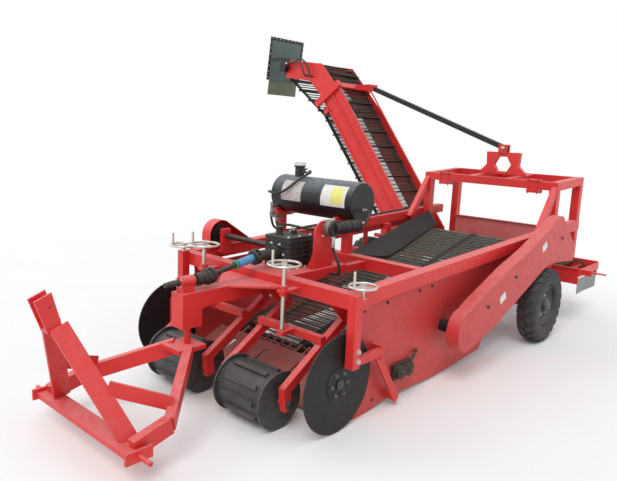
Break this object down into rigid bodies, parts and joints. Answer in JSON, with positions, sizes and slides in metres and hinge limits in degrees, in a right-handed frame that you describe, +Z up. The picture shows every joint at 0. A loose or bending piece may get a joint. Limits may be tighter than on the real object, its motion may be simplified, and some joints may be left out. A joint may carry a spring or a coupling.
{
  "type": "towed potato harvester",
  "caption": "Towed potato harvester with an A-frame hitch, ridge rollers, coulter discs, digging share, rod web, cross conveyor and a side elevator held by a stay.",
  "frame": {"origin": "centre of the whole machine's footprint, on the ground", "axes": "+X forward to the hitch, +Y to the machine's left, +Z up"},
  "size_m": [6.096, 5.153, 3.33],
  "materials": {
    "red_paint": "gloss enamel",
    "black_paint": "satin",
    "dark_steel": "worn, oily",
    "plated_steel": "zinc plated",
    "cast_iron": "dark cast",
    "blue_plastic": "moulded",
    "rubber": "sheet",
    "tyre": "moulded",
    "grey_sheet": "woven belting",
    "olive_sheet": "woven belting"
  },
  "bodies": {
    "chassis": {"baffle_brackets": "red_paint", "belt_case": "red_paint", "case_mounts": "dark_steel", "chain_case": "red_paint", "clamp_pads": "rubber", "coulter_handwheels": "plated_steel", "coulter_shanks": "red_paint", "cross_frame": "red_paint", "cross_shaft": "dark_steel", "cross_web": "dark_steel", "digging_share": "red_paint", "drawbar": "red_paint", "elevator_bearings": "red_paint", "gantry": "red_paint", "gearbox": "cast_iron", "kingpin": "red_paint", "main_frame": "red_paint", "main_web": "dark_steel", "mast": "red_paint", "oil_hoses": "rubber", "oil_tank": "black_paint", "pto_bearing": "red_paint", "pto_shaft": "dark_steel", "pto_sleeve": "blue_plastic", "pump": "cast_iron", "pump_bracket": "red_paint", "rear_panel": "red_paint", "rubber_baffle": "rubber", "screw_brackets": "red_paint", "side_plate_left": "red_paint", "side_plate_right": "red_paint", "side_shakers": "cast_iron", "tail_flap": "grey_sheet", "tank_filter": "dark_steel", "tank_stand": "red_paint", "valve_block": "dark_steel", "web_shafts": "dark_steel", "wheel_axle": "red_paint"},
    "hitch": {"hitch_frame": "red_paint"},
    "elevator": {"elevator_frame": "red_paint", "elevator_web": "dark_steel", "head_motor": "cast_iron", "head_hoses": "rubber", "curtain_frame": "dark_steel", "curtain": "grey_sheet", "discharge_flap": "olive_sheet", "elevator_rollers": "dark_steel"},
    "stay": {"elevator_stay": "black_paint"},
    "wheel_left": {"tyre_left": "tyre", "rim_left": "dark_steel"},
    "coulter_left": {"coulter_disc_left": "dark_steel"},
    "roller_frame_left": {"roller_arms_left": "red_paint"},
    "roller_left": {"ridge_roller_left": "dark_steel"},
    "depth_screw_left": {"depth_screw_left": "plated_steel"},
    "wheel_right": {"tyre_right": "tyre", "rim_right": "dark_steel"},
    "coulter_right": {"coulter_disc_right": "dark_steel"},
    "roller_frame_right": {"roller_arms_right": "red_paint"},
    "roller_right": {"ridge_roller_right": "dark_steel"},
    "depth_screw_right": {"depth_screw_right": "plated_steel"}
  },
  "joints": [
    {"name": "wheel_left_spin", "type": "hinge", "parent": "chassis", "child": "wheel_left", "pos_m": [-1.452, 2.24804, 0.365], "axis": [0, 1, 0], "continuous": true},
    {"name": "coulter_left_spin", "type": "hinge", "parent": "chassis", "child": "coulter_left", "pos_m": [1.491, 2.09654, 0.34], "axis": [0, 1, 0], "continuous": true},
    {"name": "roller_frame_left_lift", "type": "hinge", "parent": "chassis", "child": "roller_frame_left", "pos_m": [1.158, 1.59154, 0.67], "axis": [0, -1, 0], "range_deg": [0, 12]},
    {"name": "roller_left_spin", "type": "hinge", "parent": "roller_frame_left", "child": "roller_left", "pos_m": [1.73, 1.59154, 0.202], "axis": [0, 1, 0], "continuous": true},
    {"name": "depth_screw_left_travel", "type": "slide", "parent": "chassis", "child": "depth_screw_left", "axis": [0, 0, 1], "range_m": [0, 0.085]},
    {"name": "wheel_right_spin", "type": "hinge", "parent": "chassis", "child": "wheel_right", "pos_m": [-1.452, 0.13504, 0.365], "axis": [0, 1, 0], "continuous": true},
    {"name": "coulter_right_spin", "type": "hinge", "parent": "chassis", "child": "coulter_right", "pos_m": [1.491, 0.30654, 0.34], "axis": [0, 1, 0], "continuous": true},
    {"name": "roller_frame_right_lift", "type": "hinge", "parent": "chassis", "child": "roller_frame_right", "pos_m": [1.158, 0.79154, 0.67], "axis": [0, -1, 0], "range_deg": [0, 12]},
    {"name": "roller_right_spin", "type": "hinge", "parent": "roller_frame_right", "child": "roller_right", "pos_m": [1.73, 0.79154, 0.202], "axis": [0, 1, 0], "continuous": true},
    {"name": "depth_screw_right_travel", "type": "slide", "parent": "chassis", "child": "depth_screw_right", "axis": [0, 0, 1], "range_m": [0, 0.085]},
    {"name": "hitch_yaw", "type": "hinge", "parent": "chassis", "child": "hitch", "pos_m": [2.013, 1.19154, 0.485], "axis": [0, 0, 1], "range_deg": [-25, 25]},
    {"name": "elevator_lift", "type": "hinge", "parent": "chassis", "child": "elevator", "pos_m": [-2.602, 0.26554, 0.489], "axis": [-1, 0, 0], "range_deg": [0, 10]},
    {"name": "stay_swing", "type": "hinge", "parent": "chassis", "child": "stay", "pos_m": [-2.646, 1.19154, 1.85], "axis": [-1, 0, 0], "range_deg": [0, 10]}
  ],
  "couplings": [
    {"joint": "depth_screw_left_travel", "follows": "roller_frame_left_lift", "m_per_rad": 0.38},
    {"joint": "depth_screw_right_travel", "follows": "roller_frame_right_lift", "m_per_rad": 0.38},
    {"joint": "stay_swing", "follows": "elevator_lift", "ratio": 0.8457}
  ]
}
